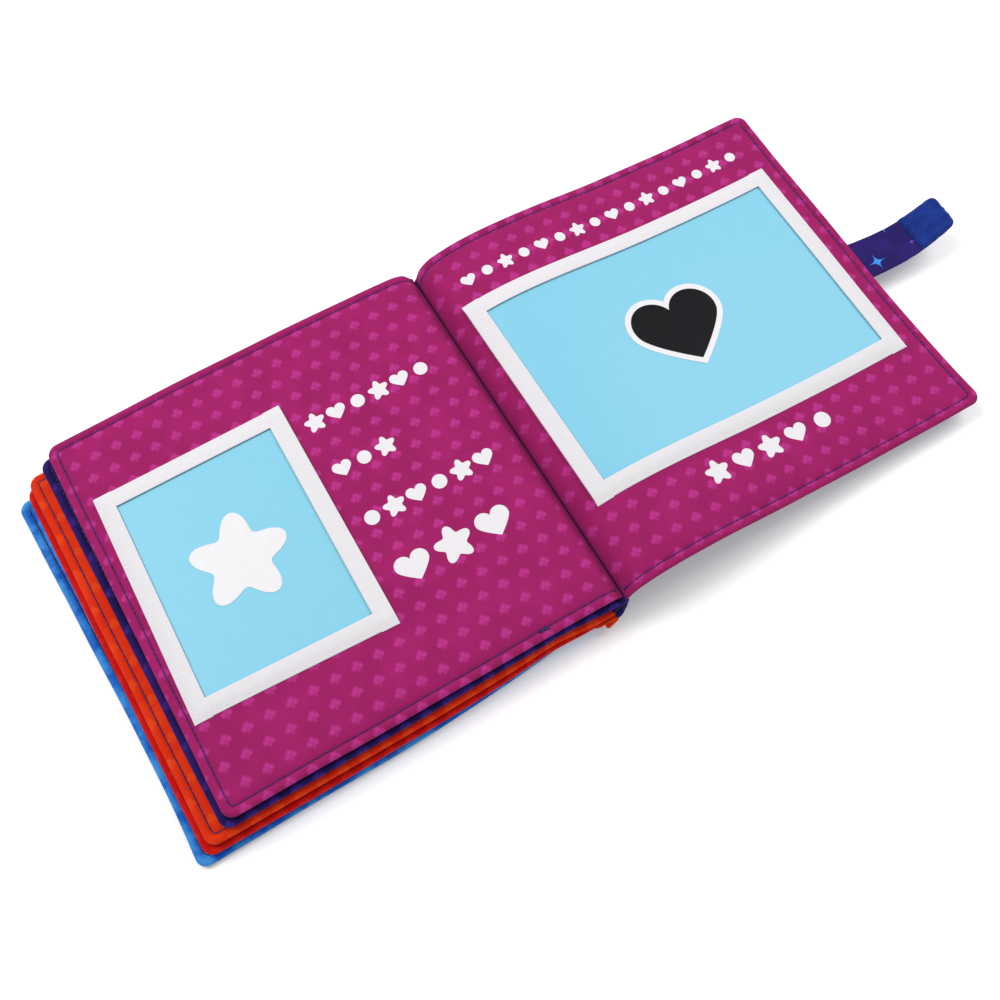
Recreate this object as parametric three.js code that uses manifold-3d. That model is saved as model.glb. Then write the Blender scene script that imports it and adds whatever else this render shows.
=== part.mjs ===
// A soft cloth photo album for a baby, lying open at its last spread.
//
// Four padded leaves and the front cover lie in a stack on the left, fanned a little to the left
// and to the front. The back cover lies on the right, humped where it rises out of the gutter.
// Every panel is a top sheet and a bottom sheet of cloth, sewn edge to edge round a pad of batting.
// The last spread carries two photo pockets: a card behind a clear window, held by four tapes.
// A strap with a grip patch closes the album round its fore-edge, onto a patch on the front cover.
//
// Millimetres, +Z up. X runs across the spread, Y runs up the page, and the gutter is at X = 0
// until the last line moves the origin to the middle of the footprint.

import * as THREE from "three";
import { mergeVertices } from "three/addons/utils/BufferGeometryUtils.js";
import Module from "manifold-3d";

const wasm = await Module();
wasm.setup();

// Panels
const PAGE_HEIGHT = 180;
const CORNER_RADIUS = 5;
const PANEL_THICKNESS = 4.2;
const SHEET_THICKNESS = 0.8;
const COVER_CLOTH_THICKNESS = 1.4;
const SEAM_GAP = 0.3;
const SEAM_ROLL = 1.5;
const SEAM_FLAT = 3.5;
const SEAM_RAMP = 6.2;
const SEAM_ROLL_LIFT = 0.5;
const SEAM_FLAT_LIFT = 0.6;
const HINGE_FLAT = 8;
const HINGE_RAMP = 8;
const BATTING_INSET = 5;
const BATTING_GAP = 0.15;
const CORNER_BLEND = 30;

// Stack on the left, from the front cover at the bottom to the last leaf on top
const STACK_AIR = 0.6;
const STACK_STEP_FRONT = 1.8;
const STACK_STEP_RUN = 110;
const STACK_REACH = [198.2, 194, 191, 183, 179];
const FRONT_COVER_TURN = 1.3;
const GUTTER_DROOP = 24;
const GUTTER_STEP = 4.6;
const GUTTER_ENDS = [-12.3, -11, -8, -4, -0.8];
const STACK_BENDS = [0.25, 0.5, 0.75, 1, 1.8, 2.8];

// Back cover on the right: height of its middle layer over the table
const BACK_START = 1.4;
const BACK_REACH = 184;
const BACK_SHIFT = -1.5;
const BACK_TURN = 0.95;
const BACK_FORM = [
  [BACK_START, 20.5],
  [9.5, 23.7],
  [25, 25.6],
  [42, 24.7],
  [60, 22],
  [84, 17.6],
  [110, 14],
  [141, 11.4],
  [BACK_REACH, 10.3],
];
const BACK_BENDS = [3, 6, 9.5, 14, 20, 28, 38, 50, 64, 80, 98, 118, 136];

// Spine strip that joins the covers outside the leaves
const SPINE_THICKNESS = 1.2;
const SPINE_LEAN_FRONT = 1.5;
const SPINE_STEPS = 12;
const SPINE_FORM = [
  [-11.4, 1.2],
  [-9.9, 2.8],
  [-9.1, 6.7],
  [-6.1, 11.3],
  [-2.1, 15.9],
  [1.55, 18.9],
];

// Photo pockets
const TAPE_WIDTH = 8.8;
const TAPE_THICKNESS = 0.8;
const TAPE_OVERRUN = 0.8;
const WINDOW_THICKNESS = 0.25;
const WINDOW_INSET = 1.5;
const CARD_THICKNESS = 0.35;
const CARD_INSET = 5;
const STICKER_THICKNESS = 0.2;
const LAYER_GAP = 0.1;
const JOIN_GAP = 0.3;
const LEFT_POCKET = { x: -127, y: 1.6, width: 89.5, height: 110, turn: -2 };
const RIGHT_POCKET = { x: 91, y: 2.2, width: 164.4, height: 110.5 };
const HEART_WIDTH = 48.6;
const HEART_PRINT_WIDTH = 43;
const HEART_SQUASH = 0.9;
const HEART_TURN = 3;
const HEART_PLACE = [89, 3.6];
const STAR_RADIUS = 17;
const STAR_WAVE = 4.2;
const STAR_PLACE = [-128, 2];
const OUTLINE_STEPS = 60;

// Strap and its two grip patches
const STRAP_WIDTH = 20;
const STRAP_LENGTH = 46;
const STRAP_RISE = 5;
const STRAP_THICKNESS = 1.6;
const STRAP_Y = -6;
const STRAP_STEPS = 10;
const GRIP_THICKNESS = 1.1;
const GRIP_LENGTH = 19;
const GRIP_END_MARGIN = 0.6;
const GRIP_SIDE_MARGIN = 0.5;
const COVER_GRIP_LENGTH = 34;
const COVER_GRIP_WIDTH = 26;
const COVER_GRIP_THICKNESS = 0.7;
const COVER_GRIP_INSET = 12;

// Values that follow from the driving dimensions
const HALF_THICKNESS = PANEL_THICKNESS / 2;
const SEAM_HALF = SHEET_THICKNESS + SEAM_GAP / 2;
const STACK_PITCH = PANEL_THICKNESS + STACK_AIR;
const CARD_BASE = LAYER_GAP;
const STICKER_BASE = CARD_BASE + CARD_THICKNESS + LAYER_GAP;
const PRINT_BASE = STICKER_BASE + STICKER_THICKNESS + LAYER_GAP;
const WINDOW_BASE = PRINT_BASE + STICKER_THICKNESS + LAYER_GAP;
const TAPE_BASE = WINDOW_BASE + WINDOW_THICKNESS + LAYER_GAP;

const COLOURS = {
  magenta: 0xa02470,
  navy: 0x231a5c,
  orange: 0xe8440f,
  red: 0xc8140f,
  blue: 0x1d74d6,
  batting: 0xf2efe8,
  tape: 0xf1eff0,
  card: 0x8fdaf2,
  grip: 0x1f3c9c,
  sticker: 0xf7f6f4,
  print: 0x1c1a20,
};

const finishes = {
  cloth: (color) => new THREE.MeshStandardMaterial({ color, roughness: 0.85, metalness: 0 }),
  batting: () => new THREE.MeshStandardMaterial({ color: COLOURS.batting, roughness: 1, metalness: 0 }),
  tape: () => new THREE.MeshStandardMaterial({ color: COLOURS.tape, roughness: 0.8, metalness: 0 }),
  card: () => new THREE.MeshStandardMaterial({ color: COLOURS.card, roughness: 0.5, metalness: 0 }),
  grip: () => new THREE.MeshStandardMaterial({ color: COLOURS.grip, roughness: 1, metalness: 0 }),
  sticker: () => new THREE.MeshStandardMaterial({ color: COLOURS.sticker, roughness: 0.6, metalness: 0 }),
  print: () => new THREE.MeshStandardMaterial({ color: COLOURS.print, roughness: 0.6, metalness: 0 }),
  clear: () =>
    new THREE.MeshStandardMaterial({ roughness: 0.1, metalness: 0, transparent: true, opacity: 0.25 }),
};

const album = new THREE.Group();

function addPiece(parent, name, geometry, material) {
  const piece = new THREE.Mesh(geometry, material);
  piece.name = name;
  parent.add(piece);
  return piece;
}

// Straight runs between given points, as a function of the first value
function straightThrough(points) {
  return (at) => {
    if (at <= points[0][0]) return points[0][1];
    for (let i = 1; i < points.length; i++) {
      const [x0, y0] = points[i - 1];
      const [x1, y1] = points[i];
      if (at <= x1) return y0 + ((y1 - y0) * (at - x0)) / (x1 - x0);
    }
    return points[points.length - 1][1];
  };
}

// One smooth curve through given points, as a function of the first value
function smoothThrough(points) {
  const slope = points.map((_, i) => {
    const [x0, y0] = points[Math.max(i - 1, 0)];
    const [x1, y1] = points[Math.min(i + 1, points.length - 1)];
    return (y1 - y0) / (x1 - x0);
  });
  return (at) => {
    let i = 1;
    while (i < points.length - 1 && at > points[i][0]) i++;
    const [x0, y0] = points[i - 1];
    const [x1, y1] = points[i];
    const run = x1 - x0;
    const t = THREE.MathUtils.clamp((at - x0) / run, 0, 1);
    const a = 2 * t ** 3 - 3 * t ** 2 + 1;
    const b = t ** 3 - 2 * t ** 2 + t;
    const c = 3 * t ** 2 - 2 * t ** 3;
    const d = t ** 3 - t ** 2;
    return a * y0 + b * run * slope[i - 1] + c * y1 + d * run * slope[i];
  };
}

// A closed solid between two heights over a grid of places, each place moved at the end
function gridSolid(places, top, bottom, move) {
  const rows = places.length;
  const columns = places[0].length;
  const layer = rows * columns;
  const points = [];
  for (const height of [top, bottom]) {
    for (const row of places) {
      for (const [x, y] of row) points.push(...move(x, y), height(x, y));
    }
  }
  const index = [];
  const quad = (a, b, c, d) => index.push(a, b, c, a, c, d);
  const at = (i, j) => j * columns + i;
  for (let j = 0; j < rows - 1; j++) {
    for (let i = 0; i < columns - 1; i++) {
      quad(at(i, j), at(i + 1, j), at(i + 1, j + 1), at(i, j + 1));
      quad(layer + at(i, j), layer + at(i, j + 1), layer + at(i + 1, j + 1), layer + at(i + 1, j));
    }
  }
  const rim = [];
  for (let i = 0; i < columns - 1; i++) rim.push(at(i, 0));
  for (let j = 0; j < rows - 1; j++) rim.push(at(columns - 1, j));
  for (let i = columns - 1; i > 0; i--) rim.push(at(i, rows - 1));
  for (let j = rows - 1; j > 0; j--) rim.push(at(0, j));
  rim.forEach((a, k) => {
    const b = rim[(k + 1) % rim.length];
    quad(a, layer + a, layer + b, b);
  });
  const geometry = new THREE.BufferGeometry();
  geometry.setAttribute("position", new THREE.Float32BufferAttribute(points, 3));
  geometry.setIndex(index);
  geometry.computeVertexNormals();
  return geometry;
}

// A side outline in X and Z, given as its points, drawn out along Y
function sideProfile(points, y0, y1) {
  const outline = new THREE.Shape(points.map(([x, z]) => new THREE.Vector2(x, z)));
  const geometry = new THREE.ExtrudeGeometry(outline, { depth: y1 - y0, bevelEnabled: false });
  geometry.rotateX(Math.PI / 2);
  geometry.translate(0, y1, 0);
  return geometry;
}

// A band of even thickness along a line of points in X and Z, its lower face offset from the line
function band(line, offset, thickness, y0, y1) {
  const points = line.map(([x, z]) => new THREE.Vector2(x, z));
  const sides = [0, 1].map((side) =>
    points.map((point, i) => {
      const before = points[Math.max(i - 1, 0)];
      const after = points[Math.min(i + 1, points.length - 1)];
      const along = after.clone().sub(before).normalize();
      const up = new THREE.Vector2(-along.y, along.x);
      const moved = point.clone().addScaledVector(up, offset + side * thickness);
      return [moved.x, moved.y];
    }),
  );
  return sideProfile([...sides[0], ...sides[1].reverse()], y0, y1);
}

function toSolid(geometry) {
  const bare = geometry.clone();
  bare.deleteAttribute("normal");
  bare.deleteAttribute("uv");
  const merged = mergeVertices(bare, 1e-4);
  return new wasm.Manifold(
    new wasm.Mesh({
      numProp: 3,
      vertProperties: new Float32Array(merged.attributes.position.array),
      triVerts: new Uint32Array(merged.index.array),
    }),
  );
}

function fromSolid(solid) {
  const mesh = solid.getMesh();
  const geometry = new THREE.BufferGeometry();
  geometry.setAttribute("position", new THREE.BufferAttribute(mesh.vertProperties, 3));
  geometry.setIndex(new THREE.BufferAttribute(mesh.triVerts, 1));
  geometry.computeVertexNormals();
  return geometry;
}

// Values in rising order, each once
function rising(values) {
  return [...values].sort((a, b) => a - b).filter((v, i, all) => i === 0 || v - all[i - 1] > 1e-6);
}

// A padded panel: outer is the X of its free edge, inner the X where it meets the spine.
// Its middle layer runs straight between the bends, so all its layers share the same facets.
// It is laid out square, and move then shifts each place of it within the table's plane.
function makePanel({ outer, inner, form, marks, move }) {
  const way = Math.sign(outer - inner);
  const padStart = inner + way * HINGE_FLAT;
  const blendStart = outer - way * CORNER_BLEND;
  const front = -PAGE_HEIGHT / 2;
  const back = PAGE_HEIGHT / 2;
  const between = (a, b) => (x) => x > Math.min(a, b) && x < Math.max(a, b);
  const bends = rising([inner, ...marks.filter(between(inner, blendStart)), blendStart, outer]);
  const middle = straightThrough(bends.map((x) => [x, form(x)]));
  const rim = [0, SEAM_ROLL, SEAM_FLAT, SEAM_RAMP, CORNER_RADIUS];
  const columns = rising([
    ...bends,
    padStart,
    padStart + way * HINGE_RAMP,
    ...rim.slice(1, -1).map((step) => outer - way * step),
  ]);
  const seam = straightThrough([
    [0, SEAM_HALF],
    [SEAM_ROLL, SEAM_HALF + SEAM_ROLL_LIFT],
    [SEAM_FLAT, SEAM_HALF + SEAM_FLAT_LIFT],
    [SEAM_RAMP, HALF_THICKNESS],
  ]);
  const cornerInset = (edge) => {
    const rise = Math.max(CORNER_RADIUS - edge, 0);
    return CORNER_RADIUS - Math.sqrt(CORNER_RADIUS ** 2 - rise ** 2);
  };
  const fromSide = (y) => Math.min(y - front, back - y);
  const edgeDistance = (x, y) => {
    const across = way * (outer - x);
    const side = fromSide(y);
    if (across < CORNER_RADIUS && side < CORNER_RADIUS) {
      return CORNER_RADIUS - Math.hypot(CORNER_RADIUS - across, CORNER_RADIUS - side);
    }
    return Math.min(across, side);
  };
  const half = (x, y) => {
    const padded = THREE.MathUtils.clamp((way * (x - padStart)) / HINGE_RAMP, 0, 1);
    return SEAM_HALF + (seam(Math.max(edgeDistance(x, y), 0)) - SEAM_HALF) * padded;
  };
  const rows = (steps) => rising([...steps.map((s) => front + s), ...steps.map((s) => back - s)]);

  // Places of the grid, drawn in at the two free corners
  const sheetPlaces = rows(rim).map((y) => {
    const inset = cornerInset(fromSide(y));
    return columns.map((x) => {
      const across = way * (outer - x);
      if (across >= CORNER_BLEND) return [x, y];
      return [outer - way * (inset + (across * (CORNER_BLEND - inset)) / CORNER_BLEND), y];
    });
  });
  const near = padStart + way * BATTING_INSET;
  const far = outer - way * BATTING_INSET;
  const battingColumns = rising([near, ...columns.filter(between(near, far)), far]);
  const battingPlaces = rows([BATTING_INSET, SEAM_RAMP]).map((y) => battingColumns.map((x) => [x, y]));

  const top = (x, y) => middle(x) + half(x, y);
  const bottom = (x, y) => middle(x) - half(x, y);
  return {
    top: straightThrough(columns.map((x) => [x, top(x, 0)])),
    columns,
    move,
    topSheet: () =>
      gridSolid(
        sheetPlaces,
        top,
        (x, y) => Math.max(top(x, y) - SHEET_THICKNESS, middle(x) + SEAM_GAP / 2),
        move,
      ),
    bottomSheet: (thickness) =>
      gridSolid(
        sheetPlaces,
        (x, y) => Math.min(bottom(x, y) + thickness, middle(x) - SEAM_GAP / 2),
        bottom,
        move,
      ),
    batting: (bottomThickness) =>
      gridSolid(
        battingPlaces,
        (x, y) => top(x, y) - SHEET_THICKNESS - BATTING_GAP,
        (x, y) => bottom(x, y) + bottomThickness + BATTING_GAP,
        move,
      ),
  };
}

function addPanel(name, panel, colours, bottomThickness = SHEET_THICKNESS) {
  const [topName, bottomName] = colours.names;
  addPiece(album, `${name}_${topName}`, panel.topSheet(), finishes.cloth(colours.top));
  addPiece(album, `${name}_batting`, panel.batting(bottomThickness), finishes.batting());
  return addPiece(
    album,
    `${name}_${bottomName}`,
    panel.bottomSheet(bottomThickness),
    finishes.cloth(colours.bottom),
  );
}

// The stack: each level lies flat outside and sinks towards the spine. A lower level slips further
// to the front, all but at the spine that holds it, and the front cover is turned a little too.
const stack = STACK_REACH.map((reach, level) => {
  const inner = GUTTER_ENDS[level];
  const flat = HALF_THICKNESS + level * STACK_PITCH;
  const end = HALF_THICKNESS + level * GUTTER_STEP;
  const slip = (level - STACK_REACH.length + 1) * STACK_STEP_FRONT;
  const turn = level === 0 ? THREE.MathUtils.degToRad(FRONT_COVER_TURN) : 0;
  const rest = (x) => 1 - THREE.MathUtils.clamp((inner - x) / STACK_STEP_RUN, 0, 1);
  return makePanel({
    outer: -reach,
    inner,
    form: (x) => end + (flat - end) * THREE.MathUtils.smoothstep(inner - x, 0, GUTTER_DROOP),
    marks: [...STACK_BENDS.map((share) => inner - share * GUTTER_DROOP), inner - STACK_STEP_RUN],
    move: (x, y) => [x - (turn * y * (inner - x)) / (inner + reach), y + slip * (1 - rest(x) ** 2)],
  });
});
const lastLeaf = stack[stack.length - 1];

const spreads = [COLOURS.blue, COLOURS.red, COLOURS.orange, COLOURS.navy, COLOURS.magenta];
const pageNames = ["left_page", "right_page"];

const frontCloth = addPanel(
  "front_cover",
  stack[0],
  { top: spreads[0], bottom: COLOURS.navy, names: ["lining", "cloth"] },
  COVER_CLOTH_THICKNESS,
);
for (let level = 1; level < stack.length; level++) {
  addPanel(`leaf_${level}`, stack[level], {
    top: spreads[level],
    bottom: spreads[level - 1],
    names: pageNames,
  });
}

// Back cover: it runs a little askew to the stack
const backSlope = Math.tan(THREE.MathUtils.degToRad(BACK_TURN));
const backCover = makePanel({
  outer: BACK_REACH,
  inner: BACK_START,
  form: smoothThrough(BACK_FORM),
  marks: BACK_BENDS,
  move: (x, y) => [x, y + BACK_SHIFT + backSlope * (x - BACK_START)],
});
addPanel("back_cover", backCover, {
  top: COLOURS.magenta,
  bottom: COLOURS.navy,
  names: ["lining", "cloth"],
});

// Spine strip
const spineCurve = new THREE.SplineCurve(SPINE_FORM.map(([x, z]) => new THREE.Vector2(x, z)));
const spineLine = spineCurve.getPoints(SPINE_STEPS).map((p) => [p.x, p.y]);
addPiece(
  album,
  "spine_strip",
  band(
    spineLine,
    -SPINE_THICKNESS / 2,
    SPINE_THICKNESS,
    -PAGE_HEIGHT / 2 - SPINE_LEAN_FRONT,
    PAGE_HEIGHT / 2 - SPINE_LEAN_FRONT,
  ),
  finishes.cloth(COLOURS.navy),
);

// Photo pockets. A piece lies over the panel's top, base above it, between two X and two Y
function overPanel(panel, x0, x1, y0, y1, base, thickness) {
  const stations = [x0, ...panel.columns.filter((x) => x > x0 && x < x1), x1];
  const lower = stations.map((x) => [x, panel.top(x) + base]);
  const upper = stations.map((x) => [x, panel.top(x) + base + thickness]);
  return sideProfile([...lower, ...upper.reverse()], y0, y1);
}

// Shifts a piece that was laid out square along with the panel under it
function moveWith(panel, geometry) {
  const places = geometry.attributes.position;
  for (let i = 0; i < places.count; i++) {
    places.setXY(i, ...panel.move(places.getX(i), places.getY(i)));
  }
  geometry.computeVertexNormals();
  return geometry;
}

function addPocket(name, panel, pocket) {
  const holder = new THREE.Group();
  const pivot = new THREE.Vector3(pocket.x, pocket.y, 0);
  const turned = new THREE.Group();
  holder.position.copy(pivot);
  holder.rotation.z = THREE.MathUtils.degToRad(pocket.turn ?? 0);
  turned.position.copy(pivot).negate();
  holder.add(turned);
  album.add(holder);
  const left = pocket.x - pocket.width / 2;
  const right = pocket.x + pocket.width / 2;
  const front = pocket.y - pocket.height / 2;
  const back = pocket.y + pocket.height / 2;
  const put = (part, x0, x1, y0, y1, base, thickness, material) => {
    const geometry = moveWith(panel, overPanel(panel, x0, x1, y0, y1, base, thickness));
    addPiece(turned, `${name}_${part}`, geometry, material);
  };
  const tape = (part, x0, x1, y0, y1) =>
    put(part, x0, x1, y0, y1, TAPE_BASE, TAPE_THICKNESS, finishes.tape());
  const low = left + TAPE_WIDTH;
  const high = right - TAPE_WIDTH;
  tape("left_tape", left, low, front - TAPE_OVERRUN, back + TAPE_OVERRUN);
  tape("right_tape", high, right, front - TAPE_OVERRUN, back + TAPE_OVERRUN);
  tape("front_tape", low + JOIN_GAP, high - JOIN_GAP, front, front + TAPE_WIDTH);
  tape("back_tape", low + JOIN_GAP, high - JOIN_GAP, back - TAPE_WIDTH, back);
  const w = WINDOW_INSET;
  put("window", left + w, right - w, front + w, back - w, WINDOW_BASE, WINDOW_THICKNESS, finishes.clear());
  const c = CARD_INSET;
  put("card", left + c, right - c, front + c, back - c, CARD_BASE, CARD_THICKNESS, finishes.card());
}
addPocket("left_pocket", lastLeaf, LEFT_POCKET);
addPocket("right_pocket", backCover, RIGHT_POCKET);

// Stickers on the cards: a puffy star on the left, and a white heart with a dark one on it
function outlineFrom(place) {
  const angles = Array.from({ length: OUTLINE_STEPS }, (_, i) => (2 * Math.PI * i) / OUTLINE_STEPS);
  return new THREE.Shape(angles.map((t) => new THREE.Vector2(...place(t))));
}

function starOutline(radius) {
  return outlineFrom((t) => {
    const r = radius + STAR_WAVE * Math.cos(5 * t);
    return [r * Math.sin(t), r * Math.cos(t)];
  });
}

// The usual heart curve, 32 wide before it is scaled
function heartOutline(width) {
  const size = width / 32;
  return outlineFrom((t) => [
    size * 16 * Math.sin(t) ** 3,
    size *
      HEART_SQUASH *
      (13 * Math.cos(t) - 5 * Math.cos(2 * t) - 2 * Math.cos(3 * t) - Math.cos(4 * t) + 2),
  ]);
}

function addSticker(name, panel, outline, [x, y], turn, base, material) {
  const spread = HEART_WIDTH;
  const layer = overPanel(panel, x - spread, x + spread, y - spread, y + spread, base, STICKER_THICKNESS);
  const cutter = new THREE.ExtrudeGeometry(outline, { depth: 2 * spread, bevelEnabled: false });
  cutter.rotateZ(THREE.MathUtils.degToRad(turn));
  cutter.translate(x, y, -spread / 2);
  const sticker = fromSolid(toSolid(layer).intersect(toSolid(cutter)));
  addPiece(album, name, moveWith(panel, sticker), material);
}

addSticker(
  "left_pocket_star",
  lastLeaf,
  starOutline(STAR_RADIUS),
  STAR_PLACE,
  LEFT_POCKET.turn,
  STICKER_BASE,
  finishes.sticker(),
);
const heart = (name, width, base, material) =>
  addSticker(name, backCover, heartOutline(width), HEART_PLACE, HEART_TURN, base, material);
heart("right_pocket_heart_border", HEART_WIDTH, STICKER_BASE, finishes.sticker());
heart("right_pocket_heart", HEART_PRINT_WIDTH, PRINT_BASE, finishes.print());

// Strap: it leaves the back cover's edge level and rises towards its tip
const strapStart = BACK_REACH + JOIN_GAP;
const strapBase = BACK_FORM[BACK_FORM.length - 1][1];
const strapLine = Array.from({ length: STRAP_STEPS + 1 }, (_, i) => {
  const t = i / STRAP_STEPS;
  const reach = Math.sqrt(STRAP_LENGTH ** 2 - STRAP_RISE ** 2);
  return [strapStart + reach * t, strapBase + STRAP_RISE * t ** 2];
});
const strapFront = STRAP_Y - STRAP_WIDTH / 2;
const strapBack = STRAP_Y + STRAP_WIDTH / 2;
addPiece(
  album,
  "strap",
  band(strapLine, -STRAP_THICKNESS / 2, STRAP_THICKNESS, strapFront, strapBack),
  finishes.cloth(COLOURS.navy),
);
const gripFrom = 1 - (GRIP_LENGTH + GRIP_END_MARGIN) / STRAP_LENGTH;
const gripTo = 1 - GRIP_END_MARGIN / STRAP_LENGTH;
const strapAt = (t) => {
  const place = THREE.MathUtils.clamp(t * STRAP_STEPS, 0, STRAP_STEPS);
  const i = Math.min(Math.floor(place), STRAP_STEPS - 1);
  const [a, b] = [strapLine[i], strapLine[i + 1]];
  return [0, 1].map((k) => a[k] + (b[k] - a[k]) * (place - i));
};
const gripLine = [
  strapAt(gripFrom),
  ...strapLine.filter((_, i) => i / STRAP_STEPS > gripFrom && i / STRAP_STEPS < gripTo),
  strapAt(gripTo),
];
addPiece(
  album,
  "strap_grip",
  band(
    gripLine,
    STRAP_THICKNESS / 2 + JOIN_GAP,
    GRIP_THICKNESS,
    strapFront + GRIP_SIDE_MARGIN,
    strapBack - GRIP_SIDE_MARGIN,
  ),
  finishes.grip(),
);

// Grip patch on the outside of the front cover, let into its cloth so that the cover lies flat
const coverGripX = -STACK_REACH[0] + COVER_GRIP_INSET + COVER_GRIP_LENGTH / 2;
const coverGrip = new THREE.BoxGeometry(COVER_GRIP_LENGTH, COVER_GRIP_WIDTH, COVER_GRIP_THICKNESS);
coverGrip.translate(coverGripX, STRAP_Y, COVER_GRIP_THICKNESS / 2);
addPiece(album, "front_cover_grip", coverGrip, finishes.grip());
const recess = new THREE.BoxGeometry(
  COVER_GRIP_LENGTH + 2 * JOIN_GAP,
  COVER_GRIP_WIDTH + 2 * JOIN_GAP,
  2 * COVER_GRIP_THICKNESS,
);
recess.translate(coverGripX, STRAP_Y, 0);
frontCloth.geometry = fromSolid(toSolid(frontCloth.geometry).subtract(toSolid(recess)));

// Origin at the middle of the footprint, on the table
const reach = new THREE.Box3().setFromObject(album);
const middle = reach.getCenter(new THREE.Vector3());
album.position.set(-middle.x, -middle.y, -reach.min.z);
album.updateMatrixWorld(true);

export default album;
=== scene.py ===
"""A soft cloth photo album for a baby, lying open at its last spread.

Every panel is two half pads, one of each cloth, sewn together at the rim and topstitched. On the
last spread lie two photo pockets of white tape round a clear window. Lengths are in millimetres
until they go into a mesh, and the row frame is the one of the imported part.
"""

import math

import bmesh
import bpy
from mathutils import Matrix, Vector, noise


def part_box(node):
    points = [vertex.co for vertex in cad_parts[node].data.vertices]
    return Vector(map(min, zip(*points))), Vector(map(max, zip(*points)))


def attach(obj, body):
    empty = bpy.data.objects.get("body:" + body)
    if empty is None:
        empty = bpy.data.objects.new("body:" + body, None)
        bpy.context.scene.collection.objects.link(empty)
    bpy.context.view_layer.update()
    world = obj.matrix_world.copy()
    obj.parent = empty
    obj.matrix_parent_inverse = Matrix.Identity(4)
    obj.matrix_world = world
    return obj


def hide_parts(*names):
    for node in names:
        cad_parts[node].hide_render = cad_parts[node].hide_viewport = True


MM = 0.001

# Panels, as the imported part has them: free edge and gutter edge from the gutter line
PAGE_HEIGHT = 180.0
HALF_HEIGHT = PAGE_HEIGHT / 2
STACK_REACH = [198.2, 194, 191, 183, 179]
GUTTER_ENDS = [-12.3, -11, -8, -4, -0.8]
TOP_LEVEL = 4
STACK_STEP_FRONT = 1.8
STACK_STEP_RUN = 110.0
FRONT_COVER_TURN = math.radians(1.3)
TOP_LEAF_TURN = math.radians(-0.7)
BACK_REACH, BACK_START = 184.0, 1.4
BACK_SHIFT, BACK_SLOPE = -1.5, math.tan(math.radians(0.95))
CORNER = 5.0
CORNER_BLEND = 30.0

# Half thickness of the pad over the distance from the rim: a rolled edge, a sewn groove, the filling
RIM = [(0, 0.08), (0.25, 0.65), (0.8, 1.2), (1.7, 1.52), (2.8, 1.42), (3.4, 0.98), (3.8, 0.74),
       (4.3, 1.02), (5.4, 1.5), (7.5, 1.86), (11, 2.1), (17, 2.26)]
LEAST_SKIN = 0.02

# Stations of the mesh from a rim, from the gutter and between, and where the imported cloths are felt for
RIM_STEPS = [0, 0.1, 0.3, 0.65, 1.15, 1.8, 2.4, 3.0, 3.4, 3.8, 4.2, 4.8, 5.8, 7.2, 9, 11.5]
GUTTER_STEPS = [0, 0.08, 0.3, 0.65, 1.1, 1.8, 2.8, 4, 5.5, 7.5, 10, 12.5]
CLEAR_OF_RIM = 15
SEEN_STEP, HIDDEN_STEP = 2.0, 3.6
FEELER_STEPS, FEELER_SPACING = [0.3, 3, 6, 9, 13, 18, 24, 31, 40, 52], 14
FEELER_ROW = 30 - HALF_HEIGHT
SHARP_ANGLE = 1.0

# The pads at the gutter: their thickness there, and the crease in which both open pages meet
GUTTER_SHARE, GUTTER_RUN, GUTTER_ROUND = 0.4, 9.0, 1.6
COVER_OVERREACH = 1.7
CREASE_DIP, CREASE_DIP_WIDTH, CREASE_DIP_LENGTH = 3.0, 5.0, 14.0
CREASE_DIP_EVEN, CREASE_DIP_FAR = 0.8, 0.2
# Painted shade along the crease: CREASE_LINE is where it is darkest, CREASE_SHADE the distances in metres
# over which it fades
CREASE_LINE, CREASE_SHADE = -1.0, (0.0002, 0.0038)
# The crease seam: a strip at the bottom of the crease, coloured near black as painted shade
CREASE_SEAM_X, CREASE_SEAM_HALF, CREASE_SEAM_ENDS = -0.55, 1.1, (-89, 85)
CREASE_SEAM_DEPTH, CREASE_SEAM_CROWN = 0.5, 0.35

# How the sewn album isn't square: drawn in at the far end of the gutter, folded out at its near end,
# bulged at the far edge, drawn out at the near corners, and with edges that drift
GUTTER_PULL, GUTTER_PULL_RUN = 1.3, 10.0
GUTTER_TUCK, GUTTER_TUCK_RUN = 1.4, 3
STACK_FOLD_OUT, STACK_FOLD_RUN = [-0.6, 2.4, 3.2, 2.0, 0], 30.0
STACK_FOLD_ACROSS, STACK_FOLD_ACROSS_RUN = 2.2, 14
FRONT_COVER_TUCK = 1.2
FAR_BULGE = 1.3
COVER_POKE, STACK_POKE = (3.4, 3.0), 2.6
EDGE_DRIFT, DRIFT_LENGTHS = 0.4, (38, 43)

# Waves of the whole stack, calm where the card slides, puckers at the seams, crumples of the cloth
UNDULATION, UNDULATION_LENGTH = 0.32, 48.0
CALM_HALF, CALM_RUN = 56.0, 24.0
PUCKER, PUCKER_LENGTH = 0.28, 3.6
CRUMPLE, CRUMPLE_LENGTH = 0.13, 16.0
THIN_CLOTH = 0.8

# Stitches
STITCH_INSET, SEAM_START = 3.8, 0.8
STITCH_LENGTH, STITCH_GAP = 2.8, -0.3
STITCH_WIDTH, STITCH_HEIGHT = 0.8, 0.5
STITCH_RISE, STITCH_LEAN = 0.14, 0.06
KNOT = [((-39.4, -86.3), (-34.0, -86.9)), ((-38.6, -87.0), (-35.2, -86.1)), ((-36.8, -87.2), (-33.6, -86.5))]
KNOT_RISE, KNOT_WIDTH = 0.4, 1.5

# The small printed motif: its lattice, and one place where it stands on each of the two open pages
MOTIF_ACROSS, MOTIF_ALONG, MOTIF_SIZE = 9.6, 9.15, 2.5
LEFT_MOTIF = (-122.6, 75.3)
RIGHT_MOTIF = (7.2, 78.4)
RIGHT_PRINT_SCALE = 0.973
WEAVE_PITCH = 0.42

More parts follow.
